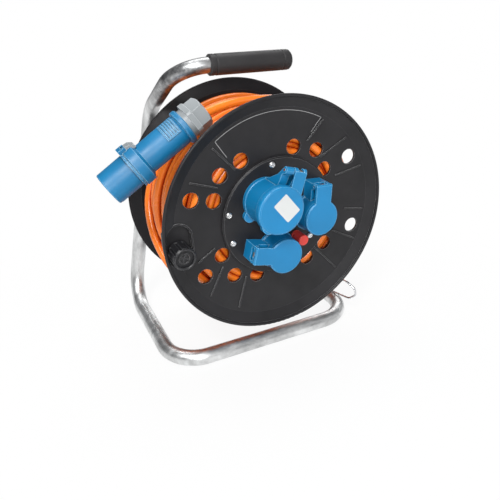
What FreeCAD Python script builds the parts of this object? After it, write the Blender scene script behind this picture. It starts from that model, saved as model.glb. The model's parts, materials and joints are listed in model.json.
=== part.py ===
import FreeCAD, Part
import math
import os

# Extension cord reel: a plastic drum with flexible cable wound on it, carried by an axle
# on one bent steel tube that is foot, upright and handle in one. The drum face holds one
# three-pole blue power socket and two round two-pole sockets under spring lids.
#
# All sizes are millimetres. The drawing frame has its origin in the middle of the drum,
# on the drum's axis. X runs to the right seen from the front, Y runs away from the front,
# Z is up. ORIGIN moves the finished pieces to the middle of the footprint on the floor.

V = FreeCAD.Vector
AXIS_Y = V(0, 1, 0)
HERE = V(0, 0, 0)

# Drum
DRUM_R = 145.0            # outer radius of both flanges
RIM_Y = 73.7              # furthest reach of the rolled rims from the drum's middle
RIM_BEAD_R = 2.0          # rolled rim
FLANGE_IN = 62.0          # inner face of a flange from the drum's middle
FLANGE_WALL = 3.0
BEVEL_R = 129.0           # where a flange starts to flare
BARREL_R = 70.0
BARREL_WALL = 2.5
HUB_TUBE_R = 18.0         # moulded tube round the axle
HUB_BORE_R = 14.0
BOSSES = ((65.9, 99.0), (66.8, 168.5), (65.2, 200.0), (65.0, 281.0), (54.4, -38.5), (65.5, 22.0))
BOSS_OUTER_R = 4.4
SLOT_Y = -56.6            # notch in the barrel where the cable comes out
SLOT_ANGLE = -119.0
SLOT_HALF = 6.2
SLOT_REACH = 17.0
CLAMP_Y = -50.0           # clamp of the cable inside the barrel
CLAMP_ANGLE = -146.0
CLAMP_WIDTH = 10.0
CLAMP_LENGTH = 22.6
BACK_RIBS = 12

# Windows in the front flange: (radius, angle) of each, angle from +X towards +Z
WINDOW_R = 9.4
WINDOWS = ((83.5, 75.5), (89.5, 54.5), (79.5, 36.5), (114.5, 30.5), (114.0, -18.0),
           (85.0, -37.5), (79.0, -57.5), (78.5, -111.0), (88.5, -131.0), (82.0, -153.0),
           (112.0, -148.0), (87.0, 158.5), (114.0, 161.0), (94.0, 140.5), (87.0, 122.5))

# Raised creases on the front flange: (radius, angle) at the outer and the inner end
CREASE_WIDTH = 1.6
CREASE_HEIGHT = 1.2
CREASES = (((122.5, 152.0), (89.6, 148.6)), ((122.5, 131.0), (84.0, 130.0)),
           ((124.0, 61.0), (94.0, 65.5)), ((125.0, 41.5), (86.0, 47.5)),
           ((125.5, 20.5), (88.5, 24.5)), ((125.5, -7.0), (97.0, -6.0)),
           ((126.0, -26.0), (87.5, -25.0)), ((126.0, -46.5), (76.0, -46.0)),
           ((124.0, -115.5), (84.0, -121.0)), ((124.5, -136.0), (89.6, -144.4)),
           ((110.5, -159.0), (86.0, -162.5)))

# Socket plate
PLATE_R = 73.0
PLATE_Y = -70.0           # front face of the plate
PLATE_WALL = 3.0
PLATE_HOLE_R = 61.0       # opening in the flange behind the plate

# Frame tube
TUBE_R = 9.5
TUBE_WALL = 1.5
FOOT_Z = -164.0           # centre line of the foot bars
FOOT_LEFT = -140.1
FOOT_RIGHT = 110.0
FOOT_FRONT = -70.3
FOOT_BACK = 112.0
FOOT_BEND = 42.0
GRIP_Y = 6.0
GRIP_Z = 170.8
GRIP_LEFT = -53.0
GRIP_RIGHT = 49.5
GRIP_R = 12.5
LUG_Y = 87.0              # middle of the flattened tube end that carries the axle
LUG_THICK = 5.0
LUG_WIDTH = 27.0
AXLE_R = 10.0
AXLE_THREAD_R = 6.0

# Cable
CABLE_R = 5.2
WIND_TURNS = 8.5
WIND_START_ANGLE = 157.0
WIND_BACK_Y = 55.5
WIND_PITCH = 10.9         # from one turn to the next where the layer is tight
WIND_LOOSE = 14.0         # extra width that the loose first turns take up in all
WIND_LOOSE_TURNS = 3.0
WIND_MID_R = 117.7        # centre line radius of the outer layer at the drum's middle
WIND_SLOPE = 0.08         # the layer is fuller towards the back flange
WIND_SLACK_R = 0.5
CORE_GAP = 0.4
LEAD_STRAIGHT = 10.4
LEAD_RUN = 15.0           # last straight run of the free end, before the winding

# Route of the free end from the plug to the winding as (angle, radius, y). It lies over the
# outer layer, hangs clear of it under the drum
# and dives down to the back flange on the left.
TAIL_ROUTE = ((115.2, 142.9, -35.0), (108.7, 139.3, -33.0), (102.4, 135.6, -29.5),
              (96.3, 132.6, -25.3), (90.0, 130.8, -21.2), (77.0, 130.9, -14.5),
              (64.0, 131.0, -8.0), (51.0, 131.2, -1.5), (38.0, 131.4, 5.0),
              (25.0, 131.6, 11.0), (12.0, 131.8, 15.5), (-1.0, 132.0, 18.5),
              (-14.0, 132.2, 20.0), (-27.0, 132.6, 20.0), (-40.0, 133.2, 18.5),
              (-53.0, 134.0, 16.0), (-66.0, 135.0, 13.0), (-79.0, 136.0, 9.5),
              (-92.0, 136.8, 6.0), (-105.0, 137.4, 2.5), (-117.0, 137.6, 0.0),
              (-128.0, 137.6, -0.8), (-138.5, 137.4, 1.5), (-147.5, 137.0, 8.0),
              (-155.0, 136.4, 18.0), (-161.5, 135.2, 29.5), (-167.2, 133.5, 40.4),
              (-173.5, 130.8, 48.4), (-179.6, 128.2, 53.0), (174.4, 125.9, 55.2))

# Plug, measured along its axis from the face of its gland
GLAND_AT = (149.5, 120.9, -35.0)
PLUG_TURN = 146.0         # turn about Y that lays the plug's axis along the coil
PLUG_TILT = 1.3           # its nose then points this much away from the front
PLUG_LENGTH = 134.0
NUT_END = 14.4            # end of the clamping nut, and so on towards the mouth
FLANGE_END = 20.5
GLAND_END = 26.0
RING_END = 32.5
HANDLE_END = 84.0
SHROUD_FLOOR = 93.0
COLLAR_END = 101.0
MOUTH_R = 10.2            # the gland's mouth round the cable
HANDLE_R = 17.8
SHROUD_R = 19.6
SHROUD_WALL = 2.2
PLUG_POLE_R = 8.4

# Sockets on the plate: centre (x, z) and the direction of the lid's hinge
CEE_AT = (-21.0, 25.4)
CEE_HINGE = 74.0
RIGHT_AT = (41.7, -1.2)
RIGHT_HINGE = 87.0
LOWER_AT = (-6.2, -39.8)
LOWER_HINGE = 167.2
BUTTON_AT = (22.8, -29.2)

# Crank knob
KNOB_RADIUS = 126.5
KNOB_ANGLE = 189.6
KNOB_R = 13.4
CAP_SEAT = -81.0          # face in the knob's mouth that the cap lies on
CAP_R = 10.2
POCKET_R = 16.0

# The origin of the part: middle of the footprint's box, on the floor
FLOOR_Z = FOOT_Z - TUBE_R
ORIGIN = V(-2.3, 2.57, FLOOR_Z)


OUTER_BOSSES = [boss for boss in BOSSES if boss[0] > PLATE_HOLE_R]


def polar(radius, angle, y=0.0):
    """A point at an angle from +X towards +Z."""
    a = math.radians(angle)
    return V(radius * math.cos(a), y, radius * math.sin(a))


def rod(radius, y0, y1, x=0.0, z=0.0):
    """A cylinder along Y."""
    low = min(y0, y1)
    return Part.makeCylinder(radius, abs(y1 - y0), V(x, low, z), AXIS_Y)


def ring(outer, inner, y0, y1, x=0.0, z=0.0):
    return rod(outer, y0, y1, x, z).cut(rod(inner, y0, y1, x, z))


def turned(profile, axis="Y"):
    """Turn a closed outline of (radius, place along the axis) about that axis."""
    if axis == "Y":
        points = [V(r, s, 0) for r, s in profile]
        about = V(0, 1, 0)
    else:
        points = [V(s, r, 0) for r, s in profile]
        about = V(1, 0, 0)
    face = Part.Face(Part.makePolygon(points + points[:1]))
    solid = face.revolve(HERE, about, 360)
    return Part.Solid(solid) if solid.ShapeType == "Shell" else solid


def plate_zy(outline, x0, x1):
    """Push a closed outline of (z, y) points along X."""
    points = [V(x0, y, z) for z, y in outline]
    face = Part.Face(Part.makePolygon(points + points[:1]))
    return face.extrude(V(x1 - x0, 0, 0))


def block(x0, x1, y0, y1, z0, z1):
    corner = V(min(x0, x1), min(y0, y1), min(z0, z1))
    return Part.makeBox(abs(x1 - x0), abs(y1 - y0), abs(z1 - z0), corner)


def fused(shapes):
    first = shapes[0]
    return first.multiFuse(shapes[1:]).removeSplitter() if len(shapes) > 1 else first


def seat(shape, centre, hinge):
    """Set a socket piece, drawn with its hinge towards +Z, on the plate."""
    moved = shape.copy()
    turn = FreeCAD.Rotation(AXIS_Y, 90.0 - hinge)
    moved.Placement = FreeCAD.Placement(V(centre[0], PLATE_Y, centre[1]), turn)
    return moved


def bent_path(points, radii):
    """Straight runs joined by tangent arcs, one radius for each inner point."""
    edges = []
    start = points[0]
    for i in range(1, len(points) - 1):
        before = (points[i - 1] - points[i]).normalize()
        after = (points[i + 1] - points[i]).normalize()
        half_turn = (math.pi - before.getAngle(after)) / 2
        reach = radii[i - 1] * math.tan(half_turn)
        arc_from = points[i] + before * reach
        arc_to = points[i] + after * reach
        inward = (before + after).normalize()
        middle = points[i] + inward * (radii[i - 1] / math.cos(half_turn) - radii[i - 1])
        edges.append(Part.LineSegment(start, arc_from).toShape())
        edges.append(Part.Arc(arc_from, middle, arc_to).toShape())
        start = arc_to
    edges.append(Part.LineSegment(start, points[-1]).toShape())
    return Part.Wire(edges)


def tube_along(path, radius):
    """Sweep a round section along a path of tangent pieces."""
    first = path.OrderedEdges[0]
    start = first.valueAt(first.FirstParameter)
    along = first.tangentAt(first.FirstParameter)
    section = Part.Wire([Part.Circle(start, along, radius).toShape()])
    solid = path.makePipeShell([section], True, False)
    return Part.Solid(solid) if solid.ShapeType == "Shell" else solid


# Frame

GRIP_BEND_AT = V(-91.8, GRIP_Y, GRIP_Z)
UPRIGHT_TOP = V(-99.5, 97.5, 108.7)
RISER_KNEE = V(70.0, LUG_Y, -105.0)
AXLE_EYE = V(0.0, LUG_Y, 0.0)
FLATTEN_FROM = 46.0       # where the tube starts to flatten, from the axle eye
FLATTEN_TO = 20.0


def frame_path():
    riser = (AXLE_EYE - RISER_KNEE).normalize()
    points = [V(GRIP_RIGHT - 2.0, GRIP_Y, GRIP_Z),
              GRIP_BEND_AT,
              UPRIGHT_TOP,
              V(FOOT_LEFT, FOOT_BACK, FOOT_Z),
              V(FOOT_LEFT, FOOT_FRONT, FOOT_Z),
              V(FOOT_RIGHT, FOOT_FRONT, FOOT_Z),
              V(FOOT_RIGHT, FOOT_BACK, FOOT_Z),
              RISER_KNEE,
              AXLE_EYE - riser * FLATTEN_FROM]
    radii = [43.0, 43.0, FOOT_BEND, FOOT_BEND, FOOT_BEND, FOOT_BEND, FOOT_BEND]
    return bent_path(points, radii), riser


def four_sided_wire(centre, across, width, thick, round_r):
    """A closed section of four edges: flat sides of the given width, bulged to round_r."""
    half_w = width / 2
    half_t = thick / 2
    corners = [centre + across * half_w + AXIS_Y * half_t,
               centre - across * half_w + AXIS_Y * half_t,
               centre - across * half_w - AXIS_Y * half_t,
               centre + across * half_w - AXIS_Y * half_t]
    bulges = [AXIS_Y * (round_r if round_r else half_t),
              across * -(round_r if round_r else half_w + half_t),
              AXIS_Y * -(round_r if round_r else half_t),
              across * (round_r if round_r else half_w + half_t)]
    edges = []
    for i in range(4):
        a = corners[i]
        b = corners[(i + 1) % 4]
        if round_r or i % 2:
            edges.append(Part.Arc(a, centre + bulges[i], b).toShape())
        else:
            edges.append(Part.LineSegment(a, b).toShape())
    return Part.Wire(edges)


def frame_tube():
    path, riser = frame_path()
    across = riser.cross(AXIS_Y).normalize()
    outer = tube_along(path, TUBE_R)
    bore = tube_along(path, TUBE_R - TUBE_WALL)
    side = TUBE_R * math.sqrt(0.5)
    round_end = four_sided_wire(AXLE_EYE - riser * FLATTEN_FROM, across, 2 * side, 2 * side, TUBE_R)
    flat_width = LUG_WIDTH - LUG_THICK
    flat_end = four_sided_wire(AXLE_EYE - riser * FLATTEN_TO, across, flat_width, LUG_THICK, 0)
    neck = Part.makeLoft([round_end, flat_end], True, True)
    half_t = LUG_THICK / 2
    eye = rod(LUG_WIDTH / 2, LUG_Y - half_t, LUG_Y + half_t)
    strap_to = AXLE_EYE - riser * FLATTEN_TO
    corner_a = AXLE_EYE + across * (LUG_WIDTH / 2) - AXIS_Y * half_t
    corner_b = AXLE_EYE - across * (LUG_WIDTH / 2) - AXIS_Y * half_t
    corner_c = strap_to - across * (LUG_WIDTH / 2) - AXIS_Y * half_t
    corner_d = strap_to + across * (LUG_WIDTH / 2) - AXIS_Y * half_t
    strap = Part.Face(Part.makePolygon([corner_a, corner_b, corner_c, corner_d, corner_a]))
    strap = strap.extrude(AXIS_Y * LUG_THICK)
    body = fused([outer.cut(bore), neck, strap, eye])
    return body.cut(rod(AXLE_THREAD_R + 0.1, LUG_Y - 2 * half_t, LUG_Y + 2 * half_t))


def handle_grip():
    groove = 0.7
    bead = 6.0
    soft = 1.6
    low, high = GRIP_LEFT, GRIP_RIGHT
    bore = TUBE_R + 0.05
    profile = [(bore, low), (GRIP_R - soft, low), (GRIP_R, low + soft),
               (GRIP_R, low + bead), (GRIP_R - groove, low + bead + 0.8),
               (GRIP_R - groove, low + bead + 2.2), (GRIP_R, low + bead + 3.0),
               (GRIP_R, high - bead - 3.0), (GRIP_R - groove, high - bead - 2.2),
               (GRIP_R - groove, high - bead - 0.8), (GRIP_R, high - bead),
               (GRIP_R, high), (bore, high)]
    grip = turned(profile, "X")
    grip.translate(V(0, GRIP_Y, GRIP_Z))
    return grip


def handle_end_plug():
    shank = TUBE_R - TUBE_WALL
    tube_end = GRIP_RIGHT - 2.0
    profile = [(0, tube_end - 14.0), (shank - 1.2, tube_end - 14.0), (shank, tube_end - 11.0),
               (shank, tube_end), (TUBE_R, tube_end), (TUBE_R, GRIP_RIGHT),
               (GRIP_R - 0.2, GRIP_RIGHT), (GRIP_R - 0.3, GRIP_RIGHT + 2.0),
               (GRIP_R - 2.2, GRIP_RIGHT + 4.2), (0, GRIP_RIGHT + 5.0)]
    plug = turned(profile, "X")
    plug.translate(V(0, GRIP_Y, GRIP_Z))
    return plug


HOOK_WIRE_R = 1.4


def plug_hook():
    points = [V(107.0, -13.0, -155.6), V(112.0, -37.0, -152.5), V(118.5, -57.5, -152.0),
              V(124.0, -64.0, -145.0), V(123.0, -62.5, -136.0), V(117.0, -48.5, -128.0),
              V(109.0, -22.0, -134.0), V(108.0, 4.0, -146.0), V(108.5, 15.0, -155.4)]
    radii = [12.0, 7.0, 4.5, 6.0, 11.0, 20.0, 12.0]
    return tube_along(bent_path(points, radii), HOOK_WIRE_R)


BUSH_FRONT = 0.0          # front end of the moulded hub tube
BUSH_BACK = 80.0          # back end of the moulded hub tube
THRUST = 1.0              # thickness of the thrust washers
COLLAR_Y = 84.5           # axle collar's face against the frame


def axle():
    groove_r = 9.2
    clip_back = BUSH_FRONT - 2.0 - THRUST
    profile = [(0, -9.0), (AXLE_R - 1.0, -9.0), (AXLE_R, -8.0), (AXLE_R, clip_back - 1.3),
               (groove_r, clip_back - 1.3), (groove_r, clip_back), (AXLE_R, clip_back),
               (AXLE_R, BUSH_BACK + 2.0 + THRUST), (16.0, BUSH_BACK + 2.0 + THRUST),
               (16.0, COLLAR_Y), (AXLE_THREAD_R, COLLAR_Y), (AXLE_THREAD_R, 102.5),
               (AXLE_THREAD_R - 1.0, 103.5), (0, 103.5)]
    return turned(profile)


def axle_washers():
    front = ring(16.5, AXLE_R + 0.1, BUSH_FRONT - 2.0 - THRUST, BUSH_FRONT - 2.0)
    back = ring(16.5, AXLE_R + 0.1, BUSH_BACK + 2.0, BUSH_BACK + 2.0 + THRUST)
    nut_side = ring(12.0, AXLE_THREAD_R + 0.2, LUG_Y + LUG_THICK / 2, LUG_Y + LUG_THICK / 2 + 2.0)
    return Part.makeCompound([front, back, nut_side])


def hex_prism(across_flats, y0, y1):
    radius = across_flats / math.sqrt(3)
    points = [polar(radius, 60 * i + 30, y0) for i in range(6)]
    face = Part.Face(Part.makePolygon(points + points[:1]))
    return face.extrude(V(0, y1 - y0, 0))


def axle_nut():
    y0 = LUG_Y + LUG_THICK / 2 + 2.0
    prism = hex_prism(18.0, y0, y0 + 9.0)
    crown = turned([(0, y0), (10.6, y0), (10.6, y0 + 7.6), (8.6, y0 + 9.0), (0, y0 + 9.0)])
    return prism.common(crown).cut(rod(AXLE_THREAD_R, y0 - 1, y0 + 10))


def axle_circlip():
    back = BUSH_FRONT - 2.0 - THRUST
    body = ring(13.2, 9.25, back - 1.2, back)
    opening = block(-3.0, 3.0, back - 2, back + 1, 0, 20)
    return body.cut(opening)


# Drum mouldings

def flange_profile(inner_r, side):
    """Half section of a flange: flat disc, flare and the seat of the rolled rim."""
    bead_y = RIM_Y - RIM_BEAD_R
    bead_r = DRUM_R - RIM_BEAD_R
    out_y = FLANGE_IN + FLANGE_WALL
    points = [(inner_r, FLANGE_IN), (BEVEL_R + 1.2, FLANGE_IN), (bead_r + 0.6, bead_y - 1.6),
              (bead_r - 1.8, bead_y - 0.7), (BEVEL_R, out_y), (inner_r, out_y)]
    return [(r, side * y) for r, y in points]


def flange_body(inner_r, side):
    disc = turned(flange_profile(inner_r, side))
    bead = Part.makeTorus(DRUM_R - RIM_BEAD_R, RIM_BEAD_R, V(0, side * (RIM_Y - RIM_BEAD_R), 0), AXIS_Y)
    return disc.fuse(bead)


def crease(outer, inner):
    """A low rib between two places on the front face of the front flange."""
    face_y = -(FLANGE_IN + FLANGE_WALL)
    a = polar(outer[0], outer[1], face_y + 0.5)
    b = polar(inner[0], inner[1], face_y + 0.5)
    along = (b - a).normalize()
    across = along.cross(AXIS_Y).normalize() * (CREASE_WIDTH / 2)
    base = Part.Face(Part.makePolygon([a + across, b + across, b - across, a - across, a + across]))
    return base.extrude(V(0, -(CREASE_HEIGHT + 0.5), 0))


def knob_centre(y=0.0):
    return polar(KNOB_RADIUS, KNOB_ANGLE, y)


def pocket_ends():
    """The two ends of the stadium-shaped pocket in which the crank knob stands."""
    return knob_centre(), polar(KNOB_RADIUS - 0.5, KNOB_ANGLE - 7.5)


def front_flange():
    body = flange_body(PLATE_HOLE_R, -1)
    body = fused([body] + [crease(outer, inner) for outer, inner in CREASES])
    cuts = []
    for radius, angle in WINDOWS:
        at = polar(radius, angle)
        cuts.append(rod(WINDOW_R, -80, -50, at.x, at.z))
    for radius, angle in OUTER_BOSSES:
        at = polar(radius, angle)
        cuts.append(rod(2.1, -80, -50, at.x, at.z))
    body = body.cut(cuts)
    return pocketed(body)


def pocketed(body):
    """Sink the stadium-shaped pocket for the crank knob into the flange."""
    floor_front = -61.2
    floor_back = -58.8
    wall = 2.0
    low, high = pocket_ends()
    hollow = []
    shell = []
    for at in (low, high):
        hollow.append(rod(POCKET_R, -80, floor_front, at.x, at.z))
        shell.append(rod(POCKET_R + wall, -66.0, floor_back, at.x, at.z))
    span = high - low
    across = span.cross(AXIS_Y).normalize()
    for radius, y0, y1, group in ((POCKET_R, -80, floor_front, hollow),
                                  (POCKET_R + wall, -66.0, floor_back, shell)):
        a = low + across * radius
        b = high + across * radius
        c = high - across * radius
        d = low - across * radius
        face = Part.Face(Part.makePolygon([V(p.x, y0, p.z) for p in (a, b, c, d, a)]))
        group.append(face.extrude(V(0, y1 - y0, 0)))
    inside_rim = rod(DRUM_R - RIM_BEAD_R - 0.6, -80, -50)
    cup = fused(shell).common(inside_rim)
    cup = cup.cut(fused(hollow))
    body = body.cut(fused(hollow).common(rod(DRUM_R - RIM_BEAD_R - 2.6, -80, -50)))
    joined = body.fuse(cup).removeSplitter()
    pin_hole = knob_centre()
    return joined.cut(rod(4.0, -80, -50, pin_hole.x, pin_hole.z))


def back_flange():
    body = flange_body(HUB_BORE_R, 1)
    out_y = FLANGE_IN + FLANGE_WALL
    hub = ring(HUB_TUBE_R, HUB_BORE_R, BUSH_FRONT, BUSH_BACK)
    stiffener = ring(76.0, 73.6, out_y - 0.5, out_y + 6.0)
    ribs = []
    for i in range(BACK_RIBS):
        rib = plate_zy([(HUB_TUBE_R - 1, out_y - 0.5), (124.0, out_y - 0.5),
                        (122.0, out_y + 2.0), (76.0, out_y + 6.0), (30.0, out_y + 9.0),
                        (HUB_TUBE_R - 1, out_y + 9.0)], -1.1, 1.1)
        rib.rotate(HERE, AXIS_Y, 360.0 / BACK_RIBS * (i + 0.5))
        ribs.append(rib)
    body = fused([body, hub, stiffener] + ribs)
    cuts = [rod(HUB_BORE_R, BUSH_FRONT - 1, BUSH_BACK + 1)]
    for i in range(BACK_RIBS):
        at = polar(94.0, 360.0 / BACK_RIBS * i)
        cuts.append(rod(WINDOW_R, 50, 90, at.x, at.z))
    for radius, angle in BOSSES:
        at = polar(radius, angle)
        cuts.append(rod(2.1, 50, 90, at.x, at.z))
        cuts.append(rod(4.4, out_y, 90, at.x, at.z))
    return body.cut(cuts)


def drum_barrel():
    inner = BARREL_R - BARREL_WALL
    wall = ring(BARREL_R, inner, -FLANGE_IN, FLANGE_IN)
    bosses = []
    holes = []
    for radius, angle in BOSSES:
        at = polar(radius, angle)
        boss = rod(BOSS_OUTER_R, -FLANGE_IN, FLANGE_IN, at.x, at.z)
        web = block(radius, inner + 1, -FLANGE_IN, FLANGE_IN, -1.4, 1.4)
        web.rotate(HERE, AXIS_Y, -angle)
        bosses.append(fused([boss, web]).common(rod(inner + 1, -70, 70)))
        holes.append(rod(1.7, -FLANGE_IN, -FLANGE_IN + 18, at.x, at.z))
        holes.append(rod(1.7, FLANGE_IN - 18, FLANGE_IN, at.x, at.z))
    body = fused([wall] + bosses)
    return body.cut(holes + [cable_slot()])


def cable_slot():
    """Notch in the barrel's front edge through which the cable comes out at a slant."""
    low = -BARREL_R - 10
    high = -BARREL_R + 10
    edge = -FLANGE_IN - 5
    ends = [Part.makeCylinder(SLOT_HALF, 20, V(x, SLOT_Y, low)) for x in (-SLOT_REACH, SLOT_REACH)]
    middle = block(-SLOT_REACH, SLOT_REACH, edge, SLOT_Y + SLOT_HALF, low, high)
    reach = SLOT_REACH + SLOT_HALF
    slot = fused(ends + [middle, block(-reach, reach, edge, SLOT_Y, low, high)])
    slot.rotate(HERE, AXIS_Y, -90.0 - SLOT_ANGLE)
    return slot


def cord_clamp():
    """Saddle inside the barrel that holds the cable before it goes out through the notch."""
    wall = BARREL_R - BARREL_WALL - 0.2
    half = CLAMP_LENGTH / 2
    body = block(-CLAMP_WIDTH / 2, CLAMP_WIDTH / 2, CLAMP_Y - half, CLAMP_Y + half, -wall, -wall + 11.8)
    passage_r = CABLE_R + 0.1
    passage = Part.makeCylinder(passage_r, 40, V(-20, CLAMP_Y, -wall + CABLE_R), V(1, 0, 0))
    mouth = block(-20, 20, CLAMP_Y - passage_r, CLAMP_Y + passage_r, -80, -wall + CABLE_R)
    sinks = []
    for y in (CLAMP_Y - half + 3.1, CLAMP_Y + half - 3.1):
        sinks.append(Part.makeCylinder(1.3, 30, V(0, y, -wall - 1)))
        sinks.append(Part.makeCylinder(2.3, 30, V(0, y, -wall + 8.0)))
    body = body.cut([passage, mouth] + sinks)
    body.rotate(HERE, AXIS_Y, -90.0 - CLAMP_ANGLE)
    return body


def bush(y0, y1, collar_y):
    body = ring(HUB_BORE_R, AXLE_R + 0.05, y0, y1)
    end = y0 if abs(collar_y - y0) < abs(collar_y - y1) else y1
    collar = ring(17.0, AXLE_R + 0.05, end, collar_y)
    return body.fuse(collar).removeSplitter()


def screw(head_r, head_h, shank_r, length, y, direction, at):
    """A pan-head screw: head from y, shank along direction (+1 is away from the front)."""
    head = [(0, 0), (shank_r, 0), (head_r, 0), (head_r, -head_h * 0.45),
            (head_r * 0.72, -head_h), (0, -head_h)]
    body = turned([(r, y + direction * s) for r, s in head])
    shank = rod(shank_r, y, y + direction * length)
    whole = body.fuse(shank).removeSplitter()
    slot = fused([block(-head_r * 0.6, head_r * 0.6, y - direction * head_h * 2,
                        y - direction * head_h * 0.45, -0.45, 0.45),
                  block(-0.45, 0.45, y - direction * head_h * 2,
                        y - direction * head_h * 0.45, -head_r * 0.6, head_r * 0.6)])
    whole = whole.cut(slot)
    whole.translate(V(at.x, 0, at.z))
    return whole


def plate_screws():
    screws = [screw(3.6, 2.4, 1.65, 19.0, PLATE_Y, 1, polar(*boss)) for boss in BOSSES]
    return Part.makeCompound(screws)


def flange_screws():
    y = FLANGE_IN + FLANGE_WALL
    screws = [screw(3.8, 2.4, 1.65, 17.0, y, -1, polar(*boss)) for boss in BOSSES]
    return Part.makeCompound(screws)


def socket_plate():
    back = -(FLANGE_IN + FLANGE_WALL)
    body = turned([(0, PLATE_Y), (PLATE_R - 1.6, PLATE_Y), (PLATE_R, PLATE_Y + 1.6),
                   (PLATE_R, back), (PLATE_R - 3.0, back), (PLATE_R - 3.0, PLATE_Y + PLATE_WALL),
                   (0, PLATE_Y + PLATE_WALL)])
    pads = []
    cuts = [rod(22.3, -80, -50, CEE_AT[0], CEE_AT[1]),
            rod(18.0, -80, -50, RIGHT_AT[0], RIGHT_AT[1]),
            rod(18.0, -80, -50, LOWER_AT[0], LOWER_AT[1]),
            rod(4.9, -80, -50, BUTTON_AT[0], BUTTON_AT[1])]
    for angle in CEE_LOBES:
        at = V(CEE_AT[0], 0, CEE_AT[1]) + polar(CEE_SCREW_AT, angle + CEE_HINGE - 90.0)
        cuts.append(rod(1.9, -80, -50, at.x, at.z))
    for radius, angle in BOSSES:
        at = polar(radius, angle)
        pad_back = back if radius > PLATE_HOLE_R else -FLANGE_IN
        pads.append(rod(BOSS_OUTER_R, PLATE_Y + 1.0, pad_back, at.x, at.z))
        cuts.append(rod(2.1, -80, -50, at.x, at.z))
    return fused([body] + pads).cut(cuts)


# Three-pole socket, drawn with its hinge towards +Z and the plate's face at y = 0

CEE_BASE_R = 26.8
CEE_BORE_R = 22.2
CEE_MOUTH = -37.0
CEE_FACE = -44.0
CEE_PIN_Z = 44.8
CEE_PIN_Y = -38.5
CEE_LID_R = 28.4
CEE_POLE_R = 9.3
CEE_POLES = ((270.0, 3.0), (150.0, 2.5), (30.0, 2.5))
CEE_LOBES = (55.0, 235.0)
CEE_LOBE_AT = 26.0        # middle of a lobe of the base
CEE_LOBE_R = 7.2
CEE_SCREW_AT = 28.6
CEE_EAR = (-6.8, 3.2)     # the wide ear stands left of the lid's arm
CEE_INNER_EAR = (8.8, 11.2)
CEE_ARM = (4.4, 19.2)
CEE_TAB_ANGLE = 243.0


def cee_ear(round_r):
    """Outline (z, y) of a hinge ear: a slanted web with a round end at the pin."""
    outline = [(22.0, -0.5), (25.6, -0.5), (28.0, -10.0), (CEE_PIN_Z - 7.3, -27.0)]
    for i in range(7):
        a = math.radians(-15 + 35 * i)
        outline.append((CEE_PIN_Z + round_r * math.cos(a), CEE_PIN_Y - round_r * math.sin(a)))
    return outline + [(38.5, -35.0), (22.0, -31.0)]


def cee_housing():
    profile = [(CEE_BORE_R, CEE_MOUTH), (25.2, CEE_MOUTH), (25.8, -9.0), (26.0, -6.0),
               (CEE_BASE_R, -5.2), (CEE_BASE_R, 0.0), (21.9, 0.0), (21.9, 14.0), (19.4, 14.0),
               (19.4, -1.5), (CEE_BORE_R, -1.5)]
    body = turned(profile)
    parts = [body]
    holes = []
    for angle in CEE_LOBES:
        at = polar(CEE_LOBE_AT, angle)
        parts.append(rod(CEE_LOBE_R, -5.2, 0.0, at.x, at.z).cut(rod(24.0, -6, 1)))
        hole = polar(CEE_SCREW_AT, angle)
        holes.append(rod(1.75, -4.2, 2, hole.x, hole.z))
    for span, round_r in ((CEE_EAR, 4.1), (CEE_INNER_EAR, 2.5)):
        parts.append(plate_zy(cee_ear(round_r), *span).cut(rod(CEE_BORE_R + 1.2, -50, 1)))
    hollow = [(27.2, -13.0), (35.0, -27.0), (40.2, -32.8), (36.8, -32.8), (28.4, -27.0)]
    body = fused(parts).cut(plate_zy(hollow, CEE_EAR[0] + 2.2, CEE_EAR[1] + 1))
    key_groove = block(-2.6, 2.6, CEE_MOUTH - 1, -6.0, -CEE_BORE_R - 1.3, -CEE_BORE_R + 2)
    pin_hole = Part.makeCylinder(1.5, 40, V(-20, CEE_PIN_Y, CEE_PIN_Z), V(1, 0, 0))
    return body.cut(holes + [key_groove, pin_hole])


def cee_insert():
    """Round face part that stands in the middle of the bore."""
    return pole_bores(turned([(0, -34.0), (15.6, -34.0), (16.5, -33.0), (16.5, -6.0), (0, -6.0)]))


def cee_insert_base():
    """Contact carrier behind the face part, on the housing's ledge."""
    return pole_bores(turned([(0, -6.0), (CEE_BORE_R - 0.1, -6.0), (CEE_BORE_R - 0.1, -1.5),
                              (19.2, -1.5), (19.2, 13.0), (0, 13.0)]))


def pole_bores(body):
    bores = []
    for angle, pole_r in CEE_POLES:
        at = polar(CEE_POLE_R, angle)
        bores.append(rod(pole_r + 0.75, -36, 2.0, at.x, at.z))
    return body.cut(bores)


def cee_contacts():
    sleeves = []
    for angle, pole_r in CEE_POLES:
        at = polar(CEE_POLE_R, angle)
        sleeves.append(ring(pole_r + 0.7, pole_r + 0.05, -31.0, 1.8, at.x, at.z))
    return Part.makeCompound(sleeves)


def cee_screws():
    """Screws from behind the plate into the base of the housing."""
    return Part.makeCompound([screw(3.0, 2.2, 1.7, 6.8, PLATE_WALL, -1, polar(CEE_SCREW_AT, angle))
                              for angle in CEE_LOBES])


def knuckle(radius, bore, y, z, spans):
    parts = []
    for x0, x1 in spans:
        barrel = Part.makeCylinder(radius, x1 - x0, V(x0, y, z), V(1, 0, 0))
        parts.append(barrel.cut(Part.makeCylinder(bore, x1 - x0, V(x0, y, z), V(1, 0, 0))))
    return parts


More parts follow.
